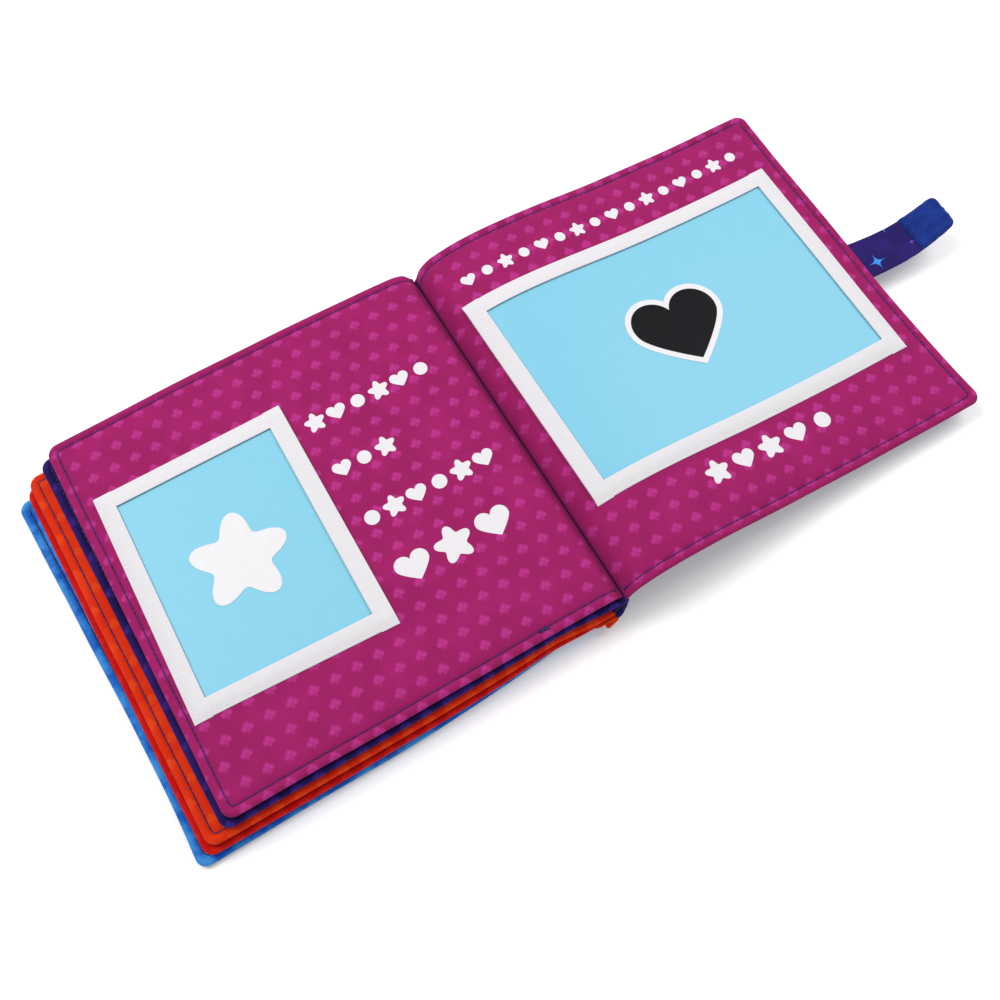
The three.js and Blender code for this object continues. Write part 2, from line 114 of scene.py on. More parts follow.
# Pocket layers over the page
CARD_LOW, CARD_HIGH = 0.3, 0.54
STICKER_LOW, STICKER_HIGH = 0.58, 0.74
PRINT_LOW, PRINT_HIGH = 0.75, 0.82
WINDOW_LOW, WINDOW_HIGH = 0.92, 1.04
TAPE_LOW, TAPE_THICK = 1.1, 0.5
TAPE_WIDTH = 7.9
TAPE_OVERRUN, TAPE_LAP, TAPE_LAP_FALL = 0.3, 0.8, 0.3
TAPE_DRAPE, TAPE_BEND = 0.06, 0.55
TAPE_WAVE, TAPE_WAVE_LENGTH = 0.1, 7
TAPE_EDGE_FALL, TAPE_EDGE_RUN = 0.16, 0.3
TAPE_RIM = (0, 0.12, 0.35, 0.7)
TAPE_STITCH_INSET, TAPE_STITCH_ENDS = 1.5, (1.5, 3.5)
TAPE_STITCH_LENGTH, TAPE_STITCH_STEP = 1.9, 2.4
TAPE_STITCH_WIDTH, TAPE_STITCH_SINK = 0.4, 0.26
WINDOW_LIP, WINDOW_SEWN, WINDOW_INSET = 0.5, 1.2, 2.5

# Corners of each pocket (near left, near right, far right, far left), its card and sticker
LEFT_POCKET = [(-174.2, -50.6), (-85.2, -54.9), (-82.9, 56.9), (-169.6, 56.8)]
RIGHT_POCKET = [(9.4, -53.2), (173.2, -53.7), (173.4, 58.6), (8.4, 57.4)]
LEFT_CARD, RIGHT_CARD = (76.2, 101.6), (152.4, 101.6)
STAR_PLACE, STAR_RADIUS = (-128.0, 2.0), 21.2
STAR_TURN, STAR_CROWN = math.radians(-14), 0.12
HEART_PLACE, HEART_RADIUS, HEART_BORDER = (89.3, 3.1), 21.2, 2.7
HEART_TURN = math.radians(-0.5)

# Rows of printed shapes: body, shapes from first to last, the places of these two, size
PRINT_ROWS = {
    "print_first": ("leaf_4", ["star", "heart", "round"] * 2, (-73, 42), (-21.5, 42), 8.6),
    "print_second": ("leaf_4", ["heart", "round", "star"], (-73, 17), (-52.4, 17), 8.6),
    "print_third": ("leaf_4", ["round", "star", "heart"] * 2, (-73, -9), (-19.5, -9), 9.2),
    "print_fourth": ("leaf_4", ["heart", "star", "heart"], (-68.5, -36.5), (-30.5, -36.5), 15.5),
    "print_top": ("back_cover", ["heart", "round", "star", "round"] * 4, (18, 68), (164, 72), 7),
    "print_low": ("back_cover", ["star", "heart", "star", "heart", "round"], (62, -65), (118, -65), 10.5),
}
PRINT_RADII = {"heart": 0.5, "star": 0.56, "round": 0.36}
PRINT_SUNK, PRINT_PROUD = -0.15, 0.05

# Spine, the two folds at its near end, strap and grip patches
SPINE_LINE = [(-11.4, 1.2), (-9.9, 2.8), (-9.1, 6.7), (-6.1, 11.3), (-2.3, 15.7), (0.5, 18.0)]
SPINE_ENDS, SPINE_THICKNESS = (-92.4, 84.5), 1.1
NAVY_FOLD = [(0.2, -87.8, 17.2), (0.4, -90.4, 15.0), (-1.4, -92.0, 11.2), (-4.4, -92.8, 7.6),
             (-8.0, -92.8, 4.4)]
ORANGE_FOLD = [(-15, -92.4, 5.2), (-10, -93.0, 6.6), (-6.0, -93.4, 7.4), (-5.4, -93.8, 6.4),
               (-8.0, -94.0, 5.0), (-9.4, -94.0, 3.9), (-7.2, -93.8, 3.2)]
STRAP_START, STRAP_BASE, STRAP_Y, STRAP_WIDTH = 184.3, 10.3, -6.0, 20.0
STRAP_LENGTH, STRAP_RISE, STRAP_THICKNESS = 46.0, 6.0, 1.6
STRAP_SPAN, STRAP_SEWN_IN = math.sqrt(STRAP_LENGTH**2 - STRAP_RISE**2), 4.0
STRAP_BOW, STRAP_TAPER, STRAP_CORNER = 1.5, 0.13, 3.6
STRAP_GRIP_LENGTH, STRAP_GRIP_OVER = 19.0, (0.6, 2.0)
COVER_GRIP = (-186.2, -152.2, -19.0, 7.0)

# The photograph's view, and the light
CAMERA_TARGET, CAMERA_DISTANCE = (-18.33, -20.58, 0.0), 583.05
CAMERA_TURNS = [math.radians(angle) for angle in (-30.35, 66.85, -0.3)]
FOCAL_LENGTH, FRAME_WIDTH, SENSOR_WIDTH = 1337.56, 1000, 36.0
KEY_LIGHT = ((-0.6, 0.65, 1.3), 0.9, 14.5)
FILL_LIGHT = ((1.0, 0.15, 1.1), 0.8, 9)
ROOM_LIGHT, FLOOR_GLOW = 0.46, 0.18

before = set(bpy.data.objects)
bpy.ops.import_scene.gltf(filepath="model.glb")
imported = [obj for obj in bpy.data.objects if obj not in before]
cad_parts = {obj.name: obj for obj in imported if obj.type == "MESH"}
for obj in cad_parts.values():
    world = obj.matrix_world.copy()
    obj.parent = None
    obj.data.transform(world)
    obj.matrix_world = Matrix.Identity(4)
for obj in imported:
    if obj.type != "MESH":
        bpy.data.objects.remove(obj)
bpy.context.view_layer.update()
ORIGIN_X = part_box("back_cover_lining")[1].x / MM - BACK_REACH
ORIGIN_Y = (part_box("leaf_4_left_page")[0].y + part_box("leaf_4_left_page")[1].y) / 2 / MM


# Small tools


def lying(x, y, z):
    """A point measured from the gutter and the middle of the page, in metres in the row frame."""
    return Vector((x + ORIGIN_X, y + ORIGIN_Y, z)) * MM


def smooth_curve(points):
    """A smooth curve through points in rising order of the first value."""
    slopes = []
    for i in range(len(points)):
        (x0, y0), (x1, y1) = points[max(i - 1, 0)], points[min(i + 1, len(points) - 1)]
        slopes.append((y1 - y0) / (x1 - x0))

    def at(x):
        if x <= points[0][0]:
            return points[0][1]
        if x >= points[-1][0]:
            return points[-1][1]
        i = 1
        while x > points[i][0]:
            i += 1
        (x0, y0), (x1, y1) = points[i - 1], points[i]
        t = (x - x0) / (x1 - x0)
        bend = slopes[i - 1] * (1 - t) - slopes[i] * t
        return y0 + (y1 - y0) * smoothstep(t) + (x1 - x0) * t * (1 - t) * bend

    return at


def smoothstep(t):
    t = min(max(t, 0.0), 1.0)
    return t * t * (3 - 2 * t)


def ripple(x, y, length, seed):
    return noise.noise(Vector((x / length, y / length, seed)))


def finish_mesh(bm, name, material, crisp=True):
    """The object of a mesh, smooth but for its sharp rims when it is crisp."""
    bmesh.ops.recalc_face_normals(bm, faces=bm.faces)
    for face in bm.faces:
        face.smooth = True
    for edge in bm.edges:
        if crisp and edge.is_manifold and edge.calc_face_angle() > SHARP_ANGLE:
            edge.smooth = False
    mesh = bpy.data.meshes.new(name)
    bm.to_mesh(mesh)
    bm.free()
    mesh.materials.append(material)
    piece = bpy.data.objects.new(name, mesh)
    bpy.context.scene.collection.objects.link(piece)
    return piece


def stand_for(piece, body, slot_name, *nodes):
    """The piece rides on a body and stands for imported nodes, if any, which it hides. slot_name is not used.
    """
    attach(piece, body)
    if nodes:
        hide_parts(*nodes)
    return piece


def new_grid(us, vs):
    """A grid whose corners keep their station (u, v)."""
    bm = bmesh.new()
    bmesh.ops.create_grid(bm, x_segments=len(us) - 1, y_segments=len(vs) - 1, size=0.5)
    station = bm.verts.layers.float_vector.new("station")
    for vert in bm.verts:
        u = us[round((vert.co.x + 0.5) * (len(us) - 1))]
        v = vs[round((vert.co.y + 0.5) * (len(vs) - 1))]
        vert[station] = (u, v, 0)
    return bm, station


def lay_out(bm, station, uv_of):
    """Gives every face the cloth's own coordinates, and drops the stations that they come from."""
    cloth = bm.loops.layers.uv.new("cloth")
    for face in bm.faces:
        for loop in face.loops:
            loop[cloth].uv = Vector(uv_of(*loop.vert[station][:2])) * MM
    bm.verts.layers.float_vector.remove(station)


def slab(name, us, vs, shape, material, uv_of=lambda u, v: (u, v)):
    """A closed slab over a grid. shape(u, v) gives x, y and the two heights there."""
    bm, station = new_grid(us, vs)
    lifted = bmesh.ops.extrude_face_region(bm, geom=bm.faces[:], use_keep_orig=True)
    upper = {g for g in lifted["geom"] if isinstance(g, bmesh.types.BMVert)}
    places = {}
    for vert in bm.verts:
        key = vert[station][:2]
        if key not in places:
            places[key] = shape(*key)
        x, y, low, high = places[key]
        vert.co = lying(x, y, high if vert in upper else low)
    lay_out(bm, station, uv_of)
    return finish_mesh(bm, name, material)


def spaced(low, high, step):
    count = max(2, round((high - low) / step))
    return [low + (high - low) * i / count for i in range(count + 1)]


# Material tools


class Wire:
    """A value in the tree of a material. The signs of sums add the nodes that work them out."""

    def __init__(self, tree, socket):
        self.tree, self.socket = tree, socket

    def math(self, operation, *others, clamp=False):
        return add_math(self.tree, operation, (self, *others), clamp)

    def __add__(self, other):
        return self.math("ADD", other)

    def __sub__(self, other):
        return self.math("SUBTRACT", other)

    def __rsub__(self, other):
        return add_math(self.tree, "SUBTRACT", (other, self))

    def __mul__(self, other):
        return self.math("MULTIPLY", other)

    def __truediv__(self, other):
        return self.math("DIVIDE", other)


def feed(sockets, values):
    """Gives each named socket its value, or links it to its wire."""
    for name, value in values.items():
        if isinstance(value, Wire):
            value.tree.links.new(value.socket, sockets[name])
        else:
            sockets[name].default_value = value


def add_math(tree, operation, values, clamp=False):
    node = tree.nodes.new("ShaderNodeMath")
    node.operation, node.use_clamp = operation, clamp
    feed(node.inputs, dict(enumerate(values)))
    return Wire(tree, node.outputs[0])


def add_ramp(value, stops):
    node = value.tree.nodes.new("ShaderNodeMapRange")
    node.interpolation_type = "SMOOTHSTEP"
    feed(node.inputs, {"Value": value, "From Min": stops[0], "From Max": stops[1]})
    return Wire(value.tree, node.outputs[0])


def add_mix(factor, first, second, blend="MIX"):
    tree = next(value.tree for value in (factor, first) if isinstance(value, Wire))
    node = tree.nodes.new("ShaderNodeMix")
    node.data_type, node.blend_type = "RGBA", blend
    sockets = {s.name: s for s in node.inputs if s.type in ("RGBA", "VALUE") and s.enabled}
    feed(sockets, {"Factor": factor, "A": first, "B": second})
    return Wire(tree, next(s for s in node.outputs if s.type == "RGBA" and s.enabled))


def add_noise(vector, scale, detail=2.0, rough=0.5):
    node = vector.tree.nodes.new("ShaderNodeTexNoise")
    feed(node.inputs, {"Vector": vector, "Scale": scale, "Detail": detail, "Roughness": rough})
    return Wire(vector.tree, node.outputs["Fac"])


def new_group(name, values, outputs):
    """A node group that reads a Vector and other named values, here with their usual size."""
    group = bpy.data.node_groups.new(name, "ShaderNodeTree")
    group.interface.new_socket("Vector", in_out="INPUT", socket_type="NodeSocketVector")
    for label, value in values.items():
        socket = group.interface.new_socket(label, in_out="INPUT", socket_type="NodeSocketFloat")
        socket.default_value = value
    for label in outputs:
        group.interface.new_socket(label, in_out="OUTPUT", socket_type="NodeSocketFloat")
    given = {socket.name: Wire(group, socket) for socket in group.nodes.new("NodeGroupInput").outputs}
    return group, given, group.nodes.new("NodeGroupOutput").inputs


def split(vector):
    node = vector.tree.nodes.new("ShaderNodeSeparateXYZ")
    feed(node.inputs, {0: vector})
    return [Wire(vector.tree, output) for output in node.outputs[:2]]


def make_weave_group():
    """Plain weave: threads over and under at a given pitch, with slubs."""
    tree, given, out = new_group("weave", {"Pitch": WEAVE_PITCH * MM}, ["Height", "Shade"])
    over, under = [(axis / given["Pitch"] * math.pi).math("SINE") for axis in split(given["Vector"])]
    height = over * under * 0.5 + add_noise(given["Vector"], 900, 3.0)
    feed(out, {"Height": height, "Shade": height * 0.12 + 0.88})
    return tree


def distance_to(x, y, place):
    dx, dy = x - place[0], y - place[1]
    return (dx * dx + dy * dy).math("SQRT")


def make_clover_group():
    """Mask of small three-lobed leaves on short stems, all upright, on a staggered lattice."""
    sizes = {"Across": MOTIF_ACROSS * MM, "Along": MOTIF_ALONG * MM, "Size": MOTIF_SIZE * MM}
    tree, given, out = new_group("clover_print", sizes, ["Mask"])
    x, y = split(given["Vector"])
    row = y / given["Along"] + 0.5
    odd = row.math("FLOOR").math("FLOORED_MODULO", 2.0)
    column = x / given["Across"] + (odd * 0.5 + 0.5)
    offsets = []
    for place, pitch in ((column, "Across"), (row, "Along")):
        offsets.append((place.math("FRACT") - 0.5) * (given[pitch] / given["Size"]))
    across, up = offsets[0].math("ABSOLUTE"), offsets[1]
    lobe = 0.46
    top_lobe = lobe - distance_to(across, up, (0.0, lobe))
    side_lobe = lobe - distance_to(across, up, (0.5, -0.06))
    stem = (0.17 - across).math("MINIMUM", 0.5 - (up + 0.4).math("ABSOLUTE"))
    inside = top_lobe.math("SMOOTH_MAX", side_lobe, 0.35).math("SMOOTH_MAX", stem, 0.2)
    bleed = add_noise(given["Vector"], 1500, 2.0) * 0.34
    feed(out, {"Mask": (inside + bleed).math("DIVIDE", 0.4, clamp=True)})
    return tree


def make_spark_group():
    """Mask of thin four-pointed sparks of light, one in some of the cells."""
    tree, given, out = new_group("sparks", {"Cell": 0.016, "Size": 0.0032, "Share": 0.5}, ["Mask"])
    pair = tree.nodes.new("ShaderNodeCombineXYZ")
    rays = []
    for i, axis in enumerate(split(given["Vector"])):
        place = axis / given["Cell"] + 0.5
        feed(pair.inputs, {i: place.math("FLOOR")})
        offset = (place.math("FRACT") - 0.5) * given["Cell"]
        rays.append((offset.math("ABSOLUTE") / given["Size"]).math("POWER", 0.4))
    chance = tree.nodes.new("ShaderNodeTexWhiteNoise")
    chance.noise_dimensions = "2D"
    feed(chance.inputs, {"Vector": Wire(tree, pair.outputs[0])})
    shape = (1.0 - (rays[0] + rays[1])).math("MULTIPLY", 7.0, clamp=True)
    present = Wire(tree, chance.outputs["Value"]).math("LESS_THAN", given["Share"])
    feed(out, {"Mask": shape * present})
    return tree


weave_group = make_weave_group()
clover_group = make_clover_group()
spark_group = make_spark_group()


def use_group(group, vector, **values):
    """The outputs of a group that reads the vector and other values."""
    node = vector.tree.nodes.new("ShaderNodeGroup")
    node.node_tree = group
    feed(node.inputs, {"Vector": vector, **values})
    return {output.name: Wire(vector.tree, output) for output in node.outputs}


def new_material(name, roughness, sheen=0.0, specular=0.5):
    """A material with its tree and the sockets of its shader."""
    material = bpy.data.materials.new(name)
    material.use_nodes = True
    shader = material.node_tree.nodes["Principled BSDF"].inputs
    feed(shader, {"Roughness": roughness, "Sheen Weight": sheen, "Sheen Roughness": 0.4,
                  "Specular IOR Level": specular})
    return material, material.node_tree, shader


def uv_vector(tree):
    node = tree.nodes.new("ShaderNodeUVMap")
    node.uv_map = "cloth"
    return Wire(tree, node.outputs[0])


def object_vector(tree):
    return Wire(tree, tree.nodes.new("ShaderNodeTexCoord").outputs["Object"])


def coat(shader, colour, height, distance, strength=1.0):
    """Gives a shader its colour, and the relief of a height."""
    node = height.tree.nodes.new("ShaderNodeBump")
    feed(node.inputs, {"Distance": distance, "Strength": strength, "Height": height})
    feed(shader, {"Base Color": colour, "Normal": Wire(height.tree, node.outputs[0])})


def cloth_material(
    name, ground, blotch, motif=None, blotch_scale=60, contrast=(0.35, 0.7), sparks=(), crease=None
):
    """Printed cloth: a mottled ground, an optional lattice of motifs, sparks of light, and a weave.
    Each of the sparks is a place, or None for scattered ones, with a size and a colour. crease is the
    colour of painted shade that darkens the cloth towards the fold between the open pages."""
    material, tree, shader = new_material(name, 0.85, sheen=0.04, specular=0.12)
    vector = uv_vector(tree)
    mottle = add_ramp(add_noise(vector, blotch_scale, 3.0, 0.55), contrast)
    colour = add_mix(mottle, ground, blotch)
    if motif:
        colour = add_mix(use_group(clover_group, vector)["Mask"], colour, motif)
    # Painted shade: the cloth turns to the crease colour towards the crease line, as shade in the fold
    # between the open pages
    if crease:
        away = (split(object_vector(tree))[0] - (ORIGIN_X + CREASE_LINE) * MM).math("ABSOLUTE")
        colour = add_mix(add_ramp(away, CREASE_SHADE), crease, colour)
    for place, size, glow in sparks:
        spot = vector
        values = {"Size": size * MM}
        if place:
            centre = tree.nodes.new("ShaderNodeMapping")
            feed(centre.inputs, {"Location": (-place[0] * MM, -place[1] * MM, 0), "Vector": vector})
            spot = Wire(tree, centre.outputs[0])
            values.update(Cell=1.0, Share=1.1)
        colour = add_mix(use_group(spark_group, spot, **values)["Mask"], colour, glow)
    weave = use_group(weave_group, vector)
    coat(shader, add_mix(1.0, colour, weave["Shade"], "MULTIPLY"), weave["Height"], 0.0001, 0.5)
    return material


def rgb(r, g, b):
    """A colour given as it shows on a screen, from 0 to 255."""
    shares = [c / 255 for c in (r, g, b)]
    return tuple(s / 12.92 if s <= 0.04 else ((s + 0.055) / 1.055) ** 2.4 for s in shares) + (1.0,)


# The magenta cloth carries painted shade along the crease: rgb(116, 19, 74) is its shade colour
MAGENTA = cloth_material(
    "magenta_print", rgb(151, 28, 94), rgb(160, 31, 101), motif=rgb(182, 50, 133), crease=rgb(116, 19, 74)
)
NAVY = cloth_material(
    "navy_print", rgb(32, 18, 82), rgb(54, 30, 118), motif=rgb(58, 36, 128), contrast=(0.4, 0.8)
)
ORANGE = cloth_material(
    "orange_print", rgb(216, 44, 8), rgb(228, 60, 14), motif=rgb(227, 68, 17), contrast=(0.4, 0.75)
)
RED = cloth_material("red_print", rgb(196, 12, 8), rgb(208, 20, 10), motif=rgb(216, 30, 16))
BLUE = cloth_material(
    "blue_print", rgb(24, 96, 196), rgb(66, 148, 224), blotch_scale=95, contrast=(0.36, 0.62)
)
OUTSIDE = cloth_material(
    "outer_cloth", rgb(30, 24, 80), rgb(48, 36, 112), sparks=[(None, 3.2, rgb(84, 160, 236))]
)
STRAP = cloth_material(
    "strap_cloth",
    rgb(36, 26, 92),
    rgb(48, 32, 112),
    sparks=[
        ((9.9, 5.9), 6.6, rgb(64, 146, 236)),
        ((22.5, 20.3), 4.2, rgb(96, 136, 225)),
        ((29.4, 6.6), 2.8, rgb(110, 74, 180)),
    ],
)


def make_tape_material():
    """White twill tape: fine slanting ribs and a soft nap."""
    material, tree, shader = new_material("white_tape", 0.82, sheen=0.1, specular=0.25)
    vector = uv_vector(tree)
    x, y = split(vector)
    ribs = ((x + y) * 5200.0).math("SINE")
    nap = add_noise(vector, 420, 4.0, 0.6)
    colour = add_mix(nap, rgb(214, 211, 215), rgb(224, 222, 225))
    coat(shader, colour, ribs * 0.35 + nap, 0.00012, 0.6)
    return material


def grained_material(name, low, high, roughness, scale, bump, specular=0.5, detail=3.0, strength=0.5):
    """A nearly even finish, with a fine grain in its colour and its height."""
    material, tree, shader = new_material(name, roughness, specular=specular)
    grain = add_noise(object_vector(tree), scale, detail)
    coat(shader, add_mix(grain, low, high), grain, bump, strength)
    return material


def make_window_material():
    colours = rgb(214, 236, 246), rgb(240, 248, 252)
    material = grained_material("clear_window", *colours, 0.16, 35, 0.0004, detail=2.0, strength=0.4)
    material.node_tree.nodes["Principled BSDF"].inputs["Alpha"].default_value = 0.006
    return material


def make_pile_material():
    """Hook and loop pile: a fuzzy mat of small loops."""
    material, tree, shader = new_material("loop_pile", 0.95, sheen=0.2, specular=0.1)
    vector = object_vector(tree)
    loops = add_noise(vector, 1400, 4.0, 0.7)
    mixed = (loops + add_noise(vector, 180, 2.0)) * 0.5
    colour = add_mix(add_ramp(mixed, (0.35, 0.65)), rgb(19, 42, 120), rgb(29, 60, 148))
    coat(shader, colour, loops, 0.0006)
    return material


THREAD = grained_material("purple_thread", rgb(22, 12, 60), rgb(54, 32, 108), 0.5, 700, 0.0001, 0.3, 1.0, 1.0)
TAPE = make_tape_material()
# Painted shade: the seam's purple is darkened near to black, for the shade at the bottom of the crease
SEAM_AND_SHADE = grained_material("seam_purple_and_painted_shade", rgb(30, 6, 32), rgb(48, 10, 46), 0.9, 300, 0.0001, 0.1)
CARD = grained_material("card_blue", rgb(119, 192, 217), rgb(123, 196, 221), 0.5, 240, 0.00002)
STICKER = grained_material("sticker_white", rgb(220, 218, 221), rgb(228, 227, 229), 0.55, 300, 0.00002)
INK = grained_material("ink_black", rgb(9, 8, 11), rgb(13, 12, 15), 0.8, 300, 0.00002, 0.03)
PRINT = grained_material("print_white", rgb(218, 214, 219), rgb(228, 225, 229), 0.7, 500, 0.00004, 0.3)
WINDOW = make_window_material()
PILE = make_pile_material()


# Panels


class Panel:
    """One panel, worked out square as it was cut, and carried to where it lies in the open album.
    level counts the stack on the left from 0, the front cover; the back cover lies on the right."""

    def __init__(self, top_node, bottom_node, level, seed):
        self.level, self.seed = level, seed
        self.way = 1 if level is None else -1
        self.inner = BACK_START if level is None else GUTTER_ENDS[level]
        self.outer = BACK_REACH if level is None else -STACK_REACH[level]
        self.seen = level in (None, TOP_LEVEL)
        self.end = self.inner - (COVER_OVERREACH if level is None else 0)
        self.width = abs(self.outer - self.end)
        self.rim = smooth_curve(RIM)
        self.middle = smooth_curve(self.measure(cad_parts[top_node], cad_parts[bottom_node]))
        self.lengths = self.measure_arc()

    def measure(self, top, bottom):
        """Heights of the middle layer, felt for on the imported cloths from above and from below."""
        *first, start = FEELER_STEPS
        last = abs(self.outer - self.inner) - first[0]
        points = []
        for step in first + spaced(start, last, FEELER_SPACING):
            x = self.inner + self.way * step
            place = lying(*self.packed(x, FEELER_ROW), 0)
            above = top.ray_cast(place + Vector((0, 0, 1)), Vector((0, 0, -1)))[1]
            below = bottom.ray_cast(place - Vector((0, 0, 1)), Vector((0, 0, 1)))[1]
            points.append((x, (above.z + below.z) / 2 / MM))
        return sorted(points)

    def measure_arc(self):
        """Length of cloth up to each x, so that prints keep their size on the hump."""
        xs = spaced(*sorted((self.end, self.outer)), 1.5)
        points = [(xs[0], 0.0)]
        for a, b in zip(xs, xs[1:]):
            points.append((b, points[-1][1] + math.hypot(b - a, self.middle(b) - self.middle(a))))
        return smooth_curve(points)

    def packed(self, x, y):
        """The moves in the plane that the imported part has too."""
        if self.level is None:
            return x, y + BACK_SHIFT + BACK_SLOPE * (x - BACK_START)
        rest = 1 - min(max((self.inner - x) / STACK_STEP_RUN, 0), 1)
        step = (self.level - TOP_LEVEL) * STACK_STEP_FRONT * (1 - rest**2)
        turn = 0 if self.level else FRONT_COVER_TURN
        return x - turn * y * (self.inner - x) / (self.inner - self.outer), y + step

    def carry(self, x, y):
        """From the square panel to its place, with the small ways in which a sewn panel isn't square."""
        across = self.way * (x - self.end)
        share = max(across / self.width, 0)
        far, near = max(y, 0) / HALF_HEIGHT, max(-y, 0) / HALF_HEIGHT
        out_x = EDGE_DRIFT * ripple(y, 0, DRIFT_LENGTHS[0], self.seed) * share
        out_y = EDGE_DRIFT * ripple(x, 0, DRIFT_LENGTHS[1], self.seed + 3) * y / HALF_HEIGHT
        if self.seen:
            out_y += FAR_BULGE * math.sin(math.pi * share) * far**2
            out_y -= GUTTER_PULL * (1 - smoothstep(across / GUTTER_PULL_RUN)) * far**2
            out_y -= GUTTER_TUCK * (1 - smoothstep(across / GUTTER_TUCK_RUN)) * far**2
        if self.level is None:
            out_x += COVER_POKE[0] * share**3 * near**3
            out_y -= COVER_POKE[1] * share**1.5 * near**2
        else:
            out_y -= STACK_FOLD_OUT[self.level] * (1 - smoothstep(across / STACK_FOLD_RUN)) * near**2
            if not self.seen:
                out_x += STACK_FOLD_ACROSS * (1 - smoothstep(across / STACK_FOLD_ACROSS_RUN)) * near**8
        if self.level == 0:
            out_x -= STACK_POKE * share**3 * near**3
            out_y += FRONT_COVER_TUCK * (1 - share**4) * near**2
        if self.level == TOP_LEVEL:
            out_x -= TOP_LEAF_TURN * y * share
        x, y = self.packed(x, y)
        return x + out_x, y + out_y

    def flatten(self, x, y):
        """The square panel's place that is carried to x, y."""
        sx, sy = x, y
        for _ in range(4):
            cx, cy = self.carry(sx, sy)
            sx, sy = sx + x - cx, sy + y - cy
        return sx, sy

    def edge(self, x, y):
        across, side = self.way * (self.outer - x), HALF_HEIGHT - abs(y)
        if across < CORNER and side < CORNER:
            return max(CORNER - math.hypot(CORNER - across, CORNER - side), 0)
        return max(min(across, side), 0)

    def level_at(self, x, y):
        """The middle layer, with the slow waves that all stacked panels share. The stack is calm in its
        middle, where the card slides."""
        wave = 1.0 if self.level is None else smoothstep((abs(y) - CALM_HALF) / CALM_RUN)
        height = self.middle(x) + UNDULATION * wave * ripple(x, y, UNDULATION_LENGTH, 2.0)
        if self.seen:
            across = self.way * (x - self.end)
            far = 1 - smoothstep((HALF_HEIGHT - y) / CREASE_DIP_LENGTH)
            dip = CREASE_DIP * (1 - smoothstep(across / CREASE_DIP_WIDTH))
            height -= dip * (CREASE_DIP_EVEN + CREASE_DIP_FAR * far)
        return height

    def swell(self, x, y):
        run = self.way * (x - self.end)
        gutter = GUTTER_SHARE + (1 - GUTTER_SHARE) * smoothstep(run / GUTTER_RUN)
        if run < GUTTER_ROUND:
            gutter *= math.sqrt(max(0.0, 1 - (1 - run / GUTTER_ROUND) ** 2))
        return self.rim(self.edge(x, y)) * gutter

    def pucker(self, x, y, seed):
        edge = self.edge(x, y)
        near_seam = smoothstep(edge / 1.5) * (1 - smoothstep((edge - 4) / 10))
        fine = PUCKER * ripple(x, y, PUCKER_LENGTH, seed) * near_seam
        broad = CRUMPLE * ripple(x, y, CRUMPLE_LENGTH, seed + 5) * smoothstep(edge / 6)
        return (fine + broad) * min(1.0, self.swell(x, y) / THIN_CLOTH)

    def top(self, x, y):
        return self.level_at(x, y) + self.swell(x, y) + self.pucker(x, y, self.seed)

    def bottom(self, x, y):
        return max(self.level_at(x, y) - self.swell(x, y) - self.pucker(x, y, self.seed + 9), 0.0)

    def calm_top(self, x, y):
        """The page without its fine puckers, as stiff card and tape lie on it."""
        return self.level_at(x, y) + self.swell(x, y)

    def place(self, u, v):
        """u from the gutter to the free edge and v along the page, drawn in at the corners."""
        rise = max(CORNER - (HALF_HEIGHT - abs(v)), 0)
        inset = CORNER - math.sqrt(max(CORNER**2 - rise**2, 0))
        across = self.width - u
        if across < CORNER_BLEND:
            across = inset + across * (CORNER_BLEND - inset) / CORNER_BLEND
        return self.outer - self.way * across, v


def panel_steps(panel, step):
    columns = spaced(CLEAR_OF_RIM, panel.width - CLEAR_OF_RIM, step)
    us = GUTTER_STEPS + columns + [panel.width - s for s in reversed(RIM_STEPS)]
    rows = spaced(CLEAR_OF_RIM - HALF_HEIGHT, HALF_HEIGHT - CLEAR_OF_RIM, step)
    vs = [s - HALF_HEIGHT for s in RIM_STEPS] + rows + [HALF_HEIGHT - s for s in reversed(RIM_STEPS)]
    return us, vs


def make_half_pad(panel, upper, body, node, also, cloth, motif_at):
    """One cloth of a panel with its half of the filling."""
    slot_name, material = cloth
    us, vs = panel_steps(panel, SEEN_STEP if upper and panel.seen else HIDDEN_STEP)
    start = panel.lengths(motif_at[0])
    scale = RIGHT_PRINT_SCALE if panel.level is None else 1.0

    def shape(u, v):
        x, y = panel.place(u, v)
        level = panel.level_at(x, y)
        if upper:
            return *panel.carry(x, y), level, max(panel.top(x, y), level + LEAST_SKIN)
        return *panel.carry(x, y), min(panel.bottom(x, y), level - LEAST_SKIN), level

    def cloth_place(u, v):
        x, y = panel.place(u, v)
        return (panel.lengths(x) - start) * scale, y - motif_at[1]

    piece = slab(f"{node}_pad", us, vs, shape, material, cloth_place)
    stand_for(piece, body, slot_name, node, *also)


def seam_path(panel, inset, step):
    """Ends of stitches along a line sewn at an even distance from the rim, from gutter to gutter."""
    radius = CORNER - inset
    centre_x, centre_y = panel.outer - panel.way * CORNER, HALF_HEIGHT - CORNER
    run = abs(centre_x - panel.end) - SEAM_START
    corner = math.pi / 2 * radius
    total = 2 * (run + corner + centre_y)

    def at(s):
        if s > total / 2:
            x, y = at(total - s)
            return x, -y
        if s < run:
            return centre_x - panel.way * (run - s), inset - HALF_HEIGHT
        if s < run + corner:
            a = (s - run) / radius
            return centre_x + panel.way * radius * math.sin(a), -centre_y - radius * math.cos(a)
        return panel.outer - panel.way * inset, s - run - corner - centre_y

    return [(at(i * step), at(i * step + STITCH_LENGTH)) for i in range(int(total / step))]


